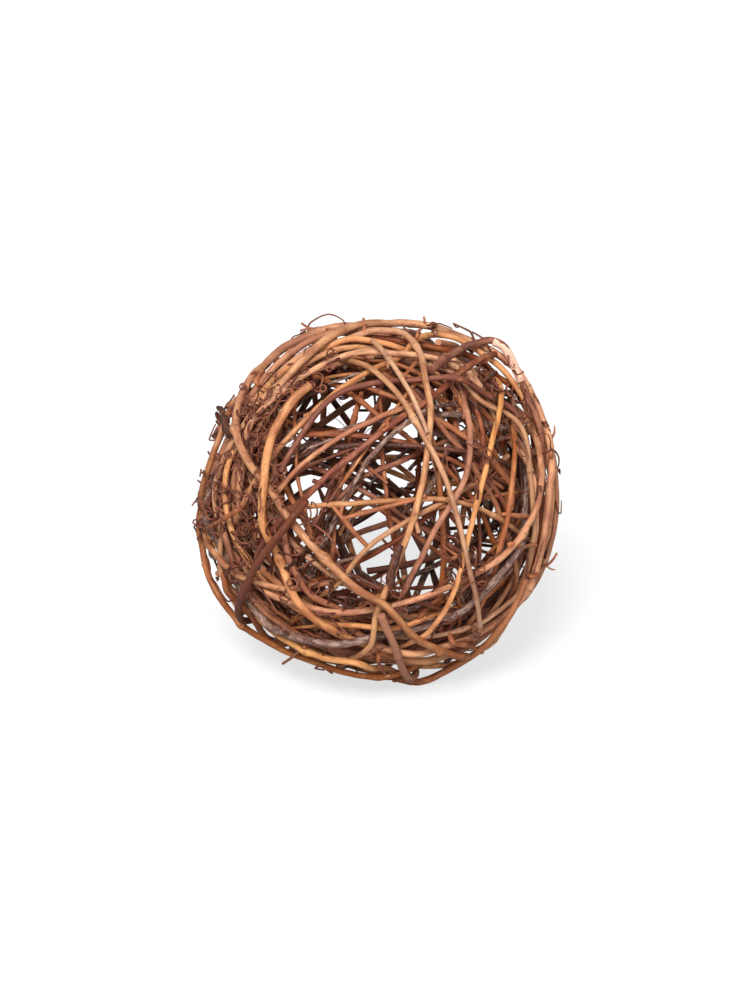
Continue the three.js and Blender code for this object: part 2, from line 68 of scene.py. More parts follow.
class Wiring:
    """Adds nodes to a tree. Inputs take a plain value, or a socket to be linked."""

    def __init__(self, tree):
        self.tree = tree

    def add(self, kind, inputs=None, **settings):
        node = self.tree.nodes.new(kind)
        for name, value in settings.items():
            setattr(node, name, value)
        for name, value in (inputs or {}).items():
            self.feed(node.inputs[name], value)
        return node

    def feed(self, socket, value):
        if isinstance(value, bpy.types.NodeSocket):
            self.tree.links.new(value, socket)
        else:
            socket.default_value = value

    def math(self, operation, *values):
        return self.add("ShaderNodeMath", dict(enumerate(values)), operation=operation).outputs[0]

    def plus(self, first, second):
        return self.math("ADD", first, second)

    def minus(self, first, second):
        return self.math("SUBTRACT", first, second)

    def times(self, first, second):
        return self.math("MULTIPLY", first, second)

    def vector(self, operation, *values, output=0):
        node = self.add("ShaderNodeVectorMath", dict(enumerate(values)), operation=operation)
        return node.outputs[output]

    def scaled(self, vector, by):
        node = self.add("ShaderNodeVectorMath", {0: vector, "Scale": by}, operation="SCALE")
        return node.outputs[0]

    def combine(self, x, y, z):
        return self.add("ShaderNodeCombineXYZ", {0: x, 1: y, 2: z}).outputs[0]

    def noise(self, place, stretch, scale, detail=2.0, rough=0.5, output="Fac"):
        """Noise that is finer along an axis the larger its share of the stretch."""
        place = self.vector("MULTIPLY", place, stretch)
        inputs = {"Vector": place, "Scale": scale, "Detail": detail, "Roughness": rough}
        return self.add("ShaderNodeTexNoise", inputs).outputs[output]

    def spread(self, value, low, high, to_low=0.0, to_high=1.0):
        """The value taken from the range low..high to the range to_low..to_high, and kept in it."""
        inputs = {"Value": value, "From Min": low, "From Max": high, "To Min": to_low, "To Max": to_high}
        return self.add("ShaderNodeMapRange", inputs).outputs[0]

    def blend(self, share, first, second):
        """The first colour, with this share of the second laid over it."""
        node = self.add("ShaderNodeMix", data_type="RGBA")
        for at, value in ((0, share), (6, first), (7, second)):  # 6 and 7 are its two colours
            self.feed(node.inputs[at], value)
        return node.outputs[2]

    def channels(self, colour):
        return self.add("ShaderNodeSeparateColor", {0: colour}).outputs


def group_of(kind, name, takes, gives):
    """An empty node group with these named inputs and outputs: its wiring, and where both are found."""
    tree = bpy.data.node_groups.new(name, kind)
    for label, (socket, value) in takes.items():
        made = tree.interface.new_socket(label, in_out="INPUT", socket_type=socket)
        if value is not None:
            made.default_value = value
    for label, socket in gives.items():
        tree.interface.new_socket(label, in_out="OUTPUT", socket_type=socket)
    wiring = Wiring(tree)
    return wiring, wiring.add("NodeGroupInput").outputs, wiring.add("NodeGroupOutput").inputs


# ---- the stem: canes, shoots, tendrils and shreds alike ----------------------------------------------

EVENLY = (1.0, 1.0, 1.0)
KNOT_REACH = 2.2  # how far a knot's swelling reaches along the stem, in mm
BENDS = 60.0  # how closely a crooked stem's bends follow one another: about this many in a metre
BUD_SIDE = (1.0, 0.3, 0.0)  # where a knot's bud stands, round the stem
SEED_RUN = 97.0  # how far the grain is moved along the stem for each step of the seed, in mm


def keep(w, geometry, name, value, data_type="FLOAT"):
    """The geometry with this value kept on it by name."""
    inputs = {"Geometry": geometry, "Name": name, "Value": value}
    return w.add("GeometryNodeStoreNamedAttribute", inputs, data_type=data_type).outputs[0]


def kept(w, name, data_type="FLOAT"):
    """A value that was kept by name."""
    return w.add("GeometryNodeInputNamedAttribute", {"Name": name}, data_type=data_type).outputs[0]


def moved(w, geometry, offset):
    return w.add("GeometryNodeSetPosition", {"Geometry": geometry, "Offset": offset}).outputs[0]


def knotted(w, given, line):
    """Marks how far each point is along its stem, how near a knot, and which way the knot's bud faces."""
    run = w.times(w.add("GeometryNodeSplineParameter").outputs["Length"], 1 / MM)
    line = keep(w, line, "run", run)
    turn = w.plus(w.math("DIVIDE", run, given["Knot spacing"]), given["Knot phase"])
    off = w.times(w.minus(w.math("FRACT", turn), 0.5), given["Knot spacing"])
    near = w.math("POWER", w.math("DIVIDE", off, KNOT_REACH), 2.0)
    line = keep(w, line, "knot", w.math("EXPONENT", w.times(near, -1.0)))
    return keep(w, line, "side", w.math("FLOORED_MODULO", w.math("FLOOR", turn), 2.0))


def crooked(w, given, line):
    """Lets a line wander to and fro, as grown wood does."""
    place = w.add("GeometryNodeInputPosition").outputs[0]
    place = w.vector("ADD", place, w.combine(given["Seed"], 0.0, 0.0))
    wander = w.noise(place, EVENLY, scale=BENDS, detail=1.0, output="Color")
    wander = w.vector("SUBTRACT", wander, (0.5, 0.5, 0.5))
    return moved(w, line, w.scaled(wander, w.times(given["Crookedness"], MM)))


def stem_ring(w, given):
    """The ring that is swept along the line. It knows the way round the stem."""
    inputs = {"Resolution": given["Sides"], "Radius": 1.0}
    ring = w.add("GeometryNodeCurvePrimitiveCircle", inputs).outputs[0]
    angle = w.times(w.add("GeometryNodeSplineParameter").outputs["Factor"], 2 * math.pi)
    way_round = w.combine(w.math("COSINE", angle), w.math("SINE", angle), 0.0)
    ring = keep(w, ring, "round", way_round, "FLOAT_VECTOR")
    flat = w.combine(1.0, given["Flatness"], 1.0)
    return w.add("GeometryNodeTransform", {"Geometry": ring, "Scale": flat}).outputs[0]


def grained(w, given, skin):
    """Keeps the grain for the bark: the place round the stem and along it, in mm."""
    radius_mm = w.times(kept(w, "half_thickness"), 1 / MM)
    along = w.plus(kept(w, "run"), w.times(given["Seed"], SEED_RUN))
    grain = w.vector("ADD", w.scaled(kept(w, "round", "FLOAT_VECTOR"), radius_mm), w.combine(0.0, 0.0, along))
    return keep(w, skin, "grain", grain, "FLOAT_VECTOR")


def ridged(w, given, skin, swell):
    """Raises the bark's furrows and dents, and a bud on one side of each knot."""
    grain = kept(w, "grain", "FLOAT_VECTOR")
    furrows = w.noise(grain, (1.0, 1.0, 0.06), scale=1.4, detail=3.0, rough=0.6)
    dents = w.noise(grain, (0.5, 0.5, 0.35), scale=0.9)
    ridges = w.times(w.minus(furrows, 0.5), given["Ridges"])
    ridges = w.plus(ridges, w.times(w.minus(dents, 0.5), given["Ridges"]))
    facing = w.vector("DOT_PRODUCT", kept(w, "round", "FLOAT_VECTOR"), BUD_SIDE, output="Value")
    bud = w.times(facing, w.minus(w.times(kept(w, "side"), 2.0), 1.0))
    bud = w.times(w.math("MAXIMUM", bud, 0.0), swell)
    rise = w.times(w.plus(ridges, bud), kept(w, "half_thickness"))
    normal = w.add("GeometryNodeInputNormal").outputs[0]
    return moved(w, skin, w.scaled(normal, rise))


def worn_below(w, skin):
    """Flattens whatever would reach below the ground."""
    place = w.add("GeometryNodeInputPosition").outputs[0]
    above = w.vector("MAXIMUM", place, (-1.0, -1.0, 0.0))
    return w.add("GeometryNodeSetPosition", {"Geometry": skin, "Position": above}).outputs[0]


def stem_group():
    """Grows a stem along each line: its knots, its crooked run, its ridged bark and its worn underside."""
    takes = {
        "Geometry": ("NodeSocketGeometry", None),
        "Step": ("NodeSocketFloat", 1.0),
        "Sides": ("NodeSocketInt", 8),
        "Flatness": ("NodeSocketFloat", 1.0),
        "Crookedness": ("NodeSocketFloat", 0.2),
        "Knot spacing": ("NodeSocketFloat", 60.0),
        "Knot phase": ("NodeSocketFloat", 0.0),
        "Knot swell": ("NodeSocketFloat", 0.2),
        "Ridges": ("NodeSocketFloat", 0.1),
        "Seed": ("NodeSocketFloat", 0.0),
        "Bark": ("NodeSocketMaterial", None),
    }
    w, given, result = group_of("GeometryNodeTree", "stem", takes, {"Geometry": "NodeSocketGeometry"})
    line = w.add("GeometryNodeMeshToCurve", {"Mesh": given["Geometry"]}).outputs[0]
    line = w.add("GeometryNodeCurveSplineType", {"Curve": line}, spline_type="CATMULL_ROM").outputs[0]
    step = w.times(given["Step"], MM)
    line = w.add("GeometryNodeResampleCurve", {"Curve": line, "Length": step}, mode="LENGTH").outputs[0]
    line = crooked(w, given, knotted(w, given, line))

    swell = w.times(kept(w, "knot"), given["Knot swell"])
    radius = w.times(kept(w, "half_thickness"), w.plus(swell, 1.0))
    inputs = {"Curve": line, "Profile Curve": stem_ring(w, given), "Scale": radius, "Fill Caps": True}
    skin = w.add("GeometryNodeCurveToMesh", inputs).outputs[0]
    skin = worn_below(w, ridged(w, given, grained(w, given, skin), swell))

    skin = w.add("GeometryNodeSetShadeSmooth", {"Geometry": skin}).outputs[0]
    skin = w.add("GeometryNodeRealizeInstances", {"Geometry": skin}).outputs[0]
    skin = w.add("GeometryNodeSetMaterial", {"Geometry": skin, "Material": given["Bark"]}).outputs[0]
    w.tree.links.new(skin, result["Geometry"])
    return w.tree


def grow(name, lines, slot_name, **looks):
    """One piece grown from lines of (point, radius, tone). Its stem modifier is made plain."""
    mesh = bpy.data.meshes.new(name)
    edges = []
    start = 0
    for line in lines:
        edges += [(i, i + 1) for i in range(start, start + len(line) - 1)]
        start += len(line)
    points, radii, tones = zip(*(bead for line in lines for bead in line))
    mesh.from_pydata(points, edges, [])
    mesh.attributes.new("half_thickness", "FLOAT", "POINT").data.foreach_set("value", radii)
    mesh.attributes.new("tone", "FLOAT", "POINT").data.foreach_set("value", tones)
    piece = bpy.data.objects.new(name, mesh)
    bpy.context.scene.collection.objects.link(piece)
    modifier = piece.modifiers.new("stem", "NODES")
    modifier.node_group = STEM
    sockets = {item.name: item.identifier for item in STEM.interface.items_tree if item.in_out == "INPUT"}
    for label, value in looks.items():
        modifier[sockets[label.replace("_", " ")]] = value
    view = bpy.context.evaluated_depsgraph_get()
    plain = bpy.data.meshes.new_from_object(piece.evaluated_get(view))
    piece.modifiers.remove(modifier)
    piece.data = plain
    bpy.data.meshes.remove(mesh)
    plain.name = name
    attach(piece, "root")
    return piece


# ---- bark --------------------------------------------------------------------------------------------

ALONG_ONLY = (0.0, 0.0, 0.004)  # so slow along the grain that each stem has a colour of its own
SPECK_COLOUR = (0.05, 0.02, 0.012, 1)
SCAR_COLOUR = (0.07, 0.03, 0.018, 1)


def own_shade(w, grain, colour):
    """Turns a colour a little from stem to stem, since no two of them dry alike."""
    own = w.channels(w.noise(grain, ALONG_ONLY, scale=1.0, detail=0.0, output="Color"))
    inputs = {
        "Hue": w.spread(own[0], 0.3, 0.7, 0.493, 0.502),
        "Saturation": w.spread(own[1], 0.3, 0.7, 0.93, 1.13),
        "Value": w.spread(own[2], 0.3, 0.7, 0.9, 1.18),
        "Color": colour,
    }
    return w.add("ShaderNodeHueSaturation", inputs).outputs[0]


def specks_in(w, grain, mottle, how_many):
    """Small dark specks in one cell out of several, crowded where the mottling is strong."""
    inputs = {"Vector": w.vector("MULTIPLY", grain, (1.0, 1.0, 0.7)), "Scale": 1.0}
    cells = w.add("ShaderNodeTexVoronoi", inputs).outputs
    speck = w.spread(cells["Distance"], 0.12, 0.27, 1.0, 0.0)
    crowd = w.times(how_many, w.spread(mottle, 0.35, 0.65, 0.2, 1.9))
    return w.times(speck, w.math("LESS_THAN", w.channels(cells["Color"])[0], crowd))


def bark_pattern():
    """The pattern that all the barks share: fibres, patches, dark specks, flakes and knots."""
    takes = {
        "Light": ("NodeSocketColor", (0.5, 0.3, 0.15, 1)),
        "Deep": ("NodeSocketColor", (0.2, 0.1, 0.05, 1)),
        "Flake": ("NodeSocketColor", (0.5, 0.4, 0.3, 1)),
        "Flaking": ("NodeSocketFloat", 0.3),
        "Specks": ("NodeSocketFloat", 0.5),
    }
    gives = {"Colour": "NodeSocketColor", "Roughness": "NodeSocketFloat", "Height": "NodeSocketFloat"}
    w, given, result = group_of("ShaderNodeTree", "bark pattern", takes, gives)
    grain = w.add("ShaderNodeAttribute", attribute_name="grain").outputs["Vector"]
    knot = w.add("ShaderNodeAttribute", attribute_name="knot").outputs["Fac"]
    tone = w.add("ShaderNodeAttribute", attribute_name="tone").outputs["Fac"]
    fibres = w.noise(grain, (2.6, 2.6, 0.16), scale=1.6, detail=4.0, rough=0.65)
    patches = w.noise(grain, (0.25, 0.25, 0.09), scale=1.0, detail=3.0, rough=0.6)
    mottle = w.noise(grain, (1.0, 1.0, 0.5), scale=1.1, detail=4.0, rough=0.6)
    peel = w.noise(grain, (0.9, 0.9, 0.3), scale=1.0, detail=5.0, rough=0.75)

    deep = w.plus(w.spread(patches, 0.36, 0.64), w.times(w.minus(fibres, 0.5), 1.1))
    deep = w.plus(deep, w.times(w.minus(mottle, 0.5), 0.7))
    # The tone kept on each stem shifts its colour towards the deep one; besides its own tone, it carries
    # painted shade and painted light.
    deep = w.add("ShaderNodeClamp", {"Value": w.plus(deep, tone)}).outputs[0]
    colour = own_shade(w, grain, w.blend(deep, given["Light"], given["Deep"]))
    speck = specks_in(w, grain, mottle, given["Specks"])
    colour = w.blend(w.times(speck, 0.62), colour, SPECK_COLOUR)
    edge = w.minus(0.78, w.times(given["Flaking"], 0.4))
    loose = w.spread(peel, edge, w.plus(edge, 0.03))
    colour = w.blend(w.times(loose, 0.7), colour, given["Flake"])
    scar = w.spread(w.plus(knot, w.times(mottle, 0.8)), 1.2, 1.5, 0.0, 0.6)
    colour = w.blend(scar, colour, SCAR_COLOUR)

    height = w.plus(w.times(fibres, 0.6), w.times(mottle, 0.35))
    height = w.plus(height, w.times(loose, 0.5))
    height = w.minus(height, w.times(speck, 0.3))
    rough = w.plus(w.spread(fibres, 0.2, 0.8, 0.42, 0.68), w.times(loose, 0.2))
    w.tree.links.new(colour, result["Colour"])
    w.tree.links.new(rough, result["Roughness"])
    w.tree.links.new(height, result["Height"])
    return w.tree


def bark(name, light, deep, flake, flaking, specks, relief=0.25):
    """A bark material. Its colours are linear, and its relief is in mm."""
    made = bpy.data.materials.new(name)
    made.use_nodes = True
    made.node_tree.nodes.clear()
    w = Wiring(made.node_tree)
    looks = {
        "Light": (*light, 1),
        "Deep": (*deep, 1),
        "Flake": (*flake, 1),
        "Flaking": flaking,
        "Specks": specks,
    }
    pattern = w.add("ShaderNodeGroup", node_tree=PATTERN)
    for label, value in looks.items():
        w.feed(pattern.inputs[label], value)
    inputs = {"Height": pattern.outputs["Height"], "Distance": relief * MM, "Strength": 0.9}
    bump = w.add("ShaderNodeBump", inputs)
    inputs = {
        "Base Color": pattern.outputs["Colour"],
        "Roughness": pattern.outputs["Roughness"],
        "Normal": bump.outputs[0],
        "Specular IOR Level": 0.35,
    }
    shader = w.add("ShaderNodeBsdfPrincipled", inputs)
    w.add("ShaderNodeOutputMaterial", {"Surface": shader.outputs[0]})
    return made


STEM = stem_group()
PATTERN = bark_pattern()
BARKS = {
    "golden_bark": bark(
        "golden_bark",
        light=(0.65, 0.315, 0.138),
        deep=(0.33, 0.118, 0.048),
        flake=(0.45, 0.26, 0.16),
        flaking=0.1,
        specks=0.4,
    ),
    "russet_bark": bark(
        "russet_bark",
        light=(0.41, 0.16, 0.076),
        deep=(0.16, 0.042, 0.019),
        flake=(0.4, 0.23, 0.15),
        flaking=0.3,
        specks=0.35,
    ),
    "dark_bark": bark(
        "dark_bark",
        light=(0.18, 0.059, 0.033),
        deep=(0.05, 0.0135, 0.007),
        flake=(0.26, 0.15, 0.11),
        flaking=0.5,
        specks=0.2,
    ),
    "grey_bark": bark(
        "grey_bark",
        light=(0.29, 0.14, 0.095),
        deep=(0.11, 0.043, 0.03),
        flake=(0.45, 0.3, 0.23),
        flaking=0.72,
        specks=0.25,
        relief=0.4,
    ),
    "pale_bark": bark(
        "pale_bark",
        light=(0.6, 0.33, 0.18),
        deep=(0.34, 0.155, 0.08),
        flake=(0.55, 0.4, 0.28),
        flaking=0.25,
        specks=0.4,
    ),
}
TENDRIL = bark(
    "tendril",
    light=(0.3, 0.118, 0.066),
    deep=(0.075, 0.023, 0.014),
    flake=(0.42, 0.27, 0.19),
    flaking=0.2,
    specks=0.0,
    relief=0.06,
)
SHRED = bark(
    "bark_shred",
    light=(0.32, 0.145, 0.08),
    deep=(0.09, 0.034, 0.022),
    flake=(0.45, 0.3, 0.21),
    flaking=0.6,
    specks=0.0,
    relief=0.1,
)
BARE_WOOD = bark(
    "bare_wood",
    light=(0.78, 0.5, 0.36),
    deep=(0.62, 0.33, 0.22),
    flake=(0.26, 0.09, 0.055),
    flaking=0.45,
    specks=0.7,
    relief=0.08,
)


# ---- the canes' lines, as their solids have them -----------------------------------------------------


def rings_of(tube):
    """The rings of corners of a solid cane, and which ring each corner is in."""
    ring_of = {}
    rings = []
    for start in tube.verts:
        if start in ring_of:
            continue
        ring, waiting = [], [start]
        while waiting:
            corner = waiting.pop()
            if corner in ring_of:
                continue
            ring_of[corner] = len(rings)
            ring.append(corner)
            waiting += [e.other_vert(corner) for e in corner.link_edges if e.calc_length() < RING_EDGE]
        rings.append(ring)
    return rings, ring_of


def cane_line(node):
    """The line of a solid cane, butt first, as (middle, radius) ring by ring."""
    tube = bmesh.new()
    tube.from_mesh(node.data)
    bmesh.ops.remove_doubles(tube, verts=tube.verts, dist=0.01 * MM)
    rings, ring_of = rings_of(tube)
    beside = [set() for _ in rings]
    for edge in tube.edges:
        a, b = (ring_of[v] for v in edge.verts)
        if a != b:
            beside[a].add(b)
            beside[b].add(a)
    order = [next(i for i, others in enumerate(beside) if len(others) == 1)]
    while len(order) < len(rings):
        order.append(next(i for i in beside[order[-1]] if i not in order[-2:]))
    line = []
    for i in order:
        middle = sum((v.co for v in rings[i]), Vector()) / len(rings[i])
        line.append((middle, max((v.co - middle).length for v in rings[i])))
    tube.free()
    return line if line[0][1] >= line[-1][1] else line[::-1]


SLOTS = {sub["node"]: sub["material_slot"] for sub in frame["record"]["subparts"]}
LINES = {name: cane_line(node) for name, node in sorted(frame["nodes"].items())}


def travel(line, distance):
    """The point and direction at a distance along a line of (point, radius)."""
    for (a, _), (b, _) in zip(line, line[1:]):
        step = (b - a).length
        if distance <= step:
            return a.lerp(b, distance / step), (b - a).normalized()
        distance -= step
    a, b = line[-2][0], line[-1][0]
    return b.copy(), (b - a).normalized()


def length_of(line):
    return sum((b[0] - a[0]).length for a, b in zip(line, line[1:]))


def cane_near(place):
    """The nearest point on any cane, and the way the cane runs there."""
    best = None
    for line in LINES.values():
        for (a, _), (b, _) in zip(line, line[1:]):
            share = min(1.0, max(0.0, (place - a).dot(b - a) / (b - a).length_squared))
            point = a.lerp(b, share)
            if best is None or (point - place).length < best[0]:
                best = ((point - place).length, point, (b - a).normalized())
    return best[1], best[2]


# ---- places on the ball ------------------------------------------------------------------------------

SHADE_STARTS_AT = 0.04  # how deep the bark keeps its own colour, as a share of the ball's radius; painted shade and dust start below that
SHADE_DEEPENING = 3.4  # how fast the painted shade and dust darken the bark below that
# the most that the painted shade and dust darken the bark
DEEPEST_SHADE = 0.6


def face_place(point):
    """Where a point is as the show face is looked at: right, up and towards, where 1 is the ball's radius."""
    out = (point - MIDDLE) / BALL
    return out.dot(RIGHT), out.dot(UP), out.dot(FACE)


def on_face(right, up, reach):
    """The point at (right, up) on the show face, this far from the ball's middle, where 1 is its radius."""
    out = math.sqrt(max(0.0, reach * reach - right * right - up * up))
    return MIDDLE + (RIGHT * right + UP * up + FACE * out) * BALL


# The openings that show right through the ball, as (right, up, radius), where 1 is the ball's radius
OPENINGS = (
    (-0.25, 0.5, 0.085),
    (0.2, 0.38, 0.045),
    (0.12, 0.27, 0.03),
    (0.12, 0.12, 0.04),
    (-0.05, -0.15, 0.1),
    (-0.13, -0.24, 0.06),
    (-0.07, -0.36, 0.06),
    (0.2, -0.27, 0.07),
    (0.27, -0.4, 0.08),
    (0.38, -0.1, 0.045),
    (-0.43, -0.07, 0.025),
    (-0.38, 0.12, 0.03),
    (0.53, -0.17, 0.03),
    (0.575, 0.84, 0.03),
    (0.69, 0.73, 0.04),
    (-0.57, 0.82, 0.025),
    (-0.89, 0.17, 0.03),
    (-0.5, -0.8, 0.03),
    (-0.4, -0.85, 0.035),
    (0.25, -0.92, 0.03),
    (0.35, -0.88, 0.03),
    (0.45, -0.84, 0.03),
)


def blocks_an_opening(path):
    """Whether the path runs across an opening, on the near side or on the far side."""
    return any(
        math.hypot(right - at, up - above) < radius
        for right, up, _ in map(face_place, path)
        for at, above, radius in OPENINGS
    )


def depth_shade_and_dust(point):
    """How much darker the bark is at a point, the deeper it lies in the ball: painted shade of the inner
    layers, with some dust.
    """
    depth = 1 - (point - MIDDLE).length / BALL
    return min(DEEPEST_SHADE, SHADE_DEEPENING * max(0.0, depth - SHADE_STARTS_AT))


# ---- canes -------------------------------------------------------------------------------------------

# How much darker a cane is than its kind of bark mostly is; the others vary
TONES = {
    "rim_hoop": 0.0,
    "long_diagonal": 0.3,
    "left_hoop": -0.4,
    "left_bow": -0.1,
    "dark_arch": 0.45,
    "left_strut": -0.6,
    # The bottom loop and the foot vines are lighter than their bark mostly is: painted light on the shaded
    # bottom of the ball.
    "bottom_loop": -0.35,
    "foot_vine_1": -0.5,
    "foot_vine_2": -0.4,
    "foot_vine_3": -0.5,
    "bent_spine": -0.15,
    "golden_chord": -0.2,
    "escaped_bow": 0.4,
    "top_hoop": 0.4,
    "outer_right_rim": 0.5,
    "inner_right_rim": 0.35,
    "left_rim": 0.4,
    "lower_left_rim": 0.4,
    "waist": -0.1,
    "crescent": 0.2,
}
STUB_ROOM = 4 * MM  # a pruned stub keeps this far from a cane's ends
STUB_SHARE = 0.25  # the share of the knots that carry one
STUB_THICKNESS = 0.55  # as a share of the cane's
STUB_TONE = 0.3  # how much darker it is than its kind of bark


def pruned_stub(dice, point, way, cane_radius):
    """What is left of a side branch that was cut off at a knot."""
    outward = (point - MIDDLE).normalized()
    aside = outward.cross(way) * dice.choice((-1, 1))
    lean = (way + aside * dice.uniform(0.4, 1.0) + outward * dice.uniform(-0.2, 0.1)).normalized()
    reach = dice.uniform(3, 7) * MM
    stub = [point, point + lean * reach * 0.5, point + (lean * 0.9 + way * 0.15) * reach]
    return [(p, STUB_THICKNESS * cane_radius / FULLNESS, STUB_TONE) for p in stub]


def lay_cane(name):
    """A knotty cane with its pruned stubs, in the place of its plain solid."""
    line = LINES[name]
    dice = random.Random(name)
    tone = TONES.get(name, dice.uniform(-0.4, 0.4))
    # The bark is darker the deeper it lies in the ball: painted shade, with some dust.
    stems = [[(middle, radius / FULLNESS, tone + depth_shade_and_dust(middle)) for middle, radius in line]]
    spacing = dice.uniform(60, 110)
    phase = dice.random()
    for i in range(int(length_of(line) / MM / spacing) + 2):
        at = (i + 0.5 - phase) * spacing * MM
        if STUB_ROOM < at < length_of(line) - STUB_ROOM and dice.random() <= STUB_SHARE:
            stems.append(pruned_stub(dice, *travel(line, at), line[0][1]))
    cane = grow(
        name + "_cane",
        stems,
        SLOTS[name],
        Step=fine(1.2),
        Sides=fine(12),
        Crookedness=1.3,
        Knot_spacing=spacing,
        Knot_phase=phase,
        Knot_swell=dice.uniform(0.12, 0.36),
        Ridges=0.32 if SLOTS[name] == "grey_bark" else 0.14,
        Seed=dice.uniform(0, 50),
        Bark=BARKS[SLOTS[name]],
    )
    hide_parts(name)


# ---- small growth, laid one by one -------------------------------------------------------------------

# Forks and pruned shoots: how far from the ball's middle, where 1 is its radius; the shoot's own radius at
# its start and at its end, in mm; and the places that it passes, as (right, up)
SHOOTS_BY_HAND = (
    (0.955, 0.9, 0.5, ((0.14, 0.66), (0.175, 0.71), (0.215, 0.76))),
    (0.94, 1.2, 1.0, ((-0.48, 0.67), (-0.47, 0.62), (-0.455, 0.585))),
    (0.97, 1.2, 1.1, ((-0.67, 0.66), (-0.655, 0.69), (-0.64, 0.72))),
    (0.985, 0.7, 0.5, ((-0.22, 0.94), (-0.3, 0.965), (-0.37, 0.97), (-0.42, 1.0))),
    (0.985, 0.5, 0.4, ((-0.36, 0.97), (-0.4, 0.965), (-0.43, 0.955))),
    (0.99, 0.8, 0.6, ((-0.07, 0.95), (-0.06, 0.98), (-0.075, 1.02))),
    (1.0, 0.7, 0.5, ((0.22, 0.92), (0.25, 0.97), (0.27, 1.0), (0.265, 1.035))),
    (1.02, 0.8, 0.7, ((0.965, 0.27), (0.98, 0.32), (0.975, 0.36))),
    (1.03, 0.7, 0.3, ((0.975, 0.35), (0.965, 0.39), (0.96, 0.43))),
    (1.03, 0.7, 0.3, ((0.975, 0.35), (0.995, 0.38), (0.995, 0.42))),
    (1.0, 0.8, 0.5, ((0.86, -0.42), (0.91, -0.38), (0.95, -0.36), (0.985, -0.33), (1.01, -0.29))),
    (1.0, 0.4, 0.3, ((0.95, -0.36), (0.975, -0.38), (1.0, -0.385))),
    (0.97, 1.0, 0.9, ((0.72, -0.235), (0.79, -0.25), (0.875, -0.25))),
    (0.95, 0.9, 0.8, ((0.68, -0.07), (0.77, -0.08), (0.86, -0.095))),
    (0.985, 1.0, 0.9, ((-0.77, -0.06), (-0.86, -0.11), (-0.945, -0.155))),
    (0.99, 0.7, 0.6, ((-0.4, -0.8), (-0.45, -0.85), (-0.53, -0.91))),
    (0.985, 0.9, 0.8, ((0.01, -0.87), (0.02, -0.92), (0.045, -0.965))),
    (0.985, 1.1, 1.0, ((0.42, -0.78), (0.5, -0.8), (0.59, -0.845))),
    (0.93, 1.0, 0.9, ((-0.13, -0.16), (-0.19, -0.09), (-0.235, -0.03))),
    (0.93, 0.9, 0.9, ((-0.19, -0.09), (-0.06, -0.06), (0.1, -0.02), (0.26, 0.03))),
    (0.95, 0.9, 0.7, ((0.05, 0.43), (0.06, 0.4), (0.03, 0.375))),
    (0.96, 0.8, 0.4, ((0.44, -0.3), (0.4, -0.27), (0.36, -0.24))),
    (0.96, 0.7, 0.3, ((0.44, -0.3), (0.4, -0.31), (0.34, -0.265))),
)
# Where bark is torn and swollen, as the shoots above
TORN_BARK = (
    (0.985, 1.9, 1.2, ((-0.8, 0.36), (-0.835, 0.42), (-0.85, 0.47), (-0.885, 0.52))),
    (0.975, 1.5, 0.8, ((-0.84, 0.43), (-0.88, 0.45), (-0.9, 0.49))),
    (0.975, 1.6, 2.4, ((0.13, -0.24), (0.11, -0.3), (0.09, -0.36), (0.075, -0.44))),
    (0.965, 1.5, 0.9, ((0.44, -0.29), (0.45, -0.33), (0.46, -0.37))),
    (0.965, 1.6, 0.9, ((0.66, 0.64), (0.66, 0.6), (0.65, 0.56))),
    (0.955, 1.3, 0.8, ((0.6, 0.68), (0.64, 0.65), (0.69, 0.6))),
    (0.98, 1.1, 0.8, ((0.66, 0.72), (0.62, 0.7), (0.58, 0.66))),
    (0.95, 1.4, 0.8, ((-0.44, -0.32), (-0.47, -0.35), (-0.5, -0.36))),
    (0.93, 0.8, 0.6, ((-0.25, -0.42), (-0.26, -0.5), (-0.265, -0.56))),
    (0.955, 0.8, 0.5, ((0.68, 0.43), (0.75, 0.46), (0.8, 0.47))),
    (0.97, 1.3, 0.8, ((-0.66, 0.47), (-0.63, 0.5), (-0.62, 0.55))),
)
